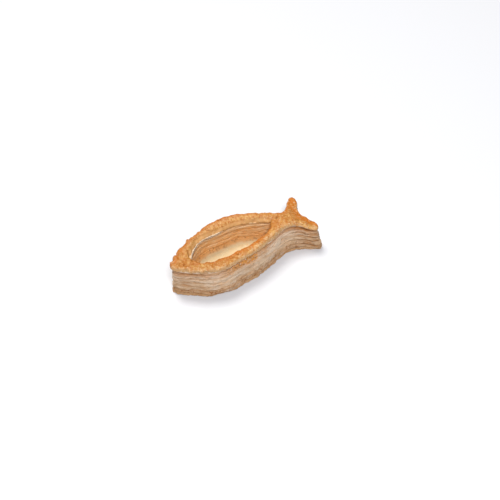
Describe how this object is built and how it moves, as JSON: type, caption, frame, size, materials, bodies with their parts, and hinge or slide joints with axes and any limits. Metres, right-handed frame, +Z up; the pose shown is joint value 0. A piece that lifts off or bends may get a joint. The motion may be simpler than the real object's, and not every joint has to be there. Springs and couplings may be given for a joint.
{
  "type": "vol-au-vent",
  "caption": "Empty fish-shaped puff-pastry case with a flaky laminated wall, a browned crust and a lens-shaped well for a filling.",
  "frame": {"origin": "centre of the bounding box, on the flat underside that the pastry case rests on", "axes": "+X runs from the nose to the tail, +Y across the body, +Z up out of the well"},
  "size_m": [0.1232, 0.0496, 0.0271],
  "materials": {
    "golden_crust": "egg-washed puff-pastry crust, baked golden brown, satin",
    "baked_leaves": "pale flaky edges of laminated dough, matte",
    "well_leaves": "toasted leaf edges inside the well, matte",
    "well_floor": "pale baked dough, matte",
    "browned_base": "brown underside crust, matte"
  },
  "bodies": {
    "root": {"pastry_case": "golden_crust"}
  },
  "joints": []
}
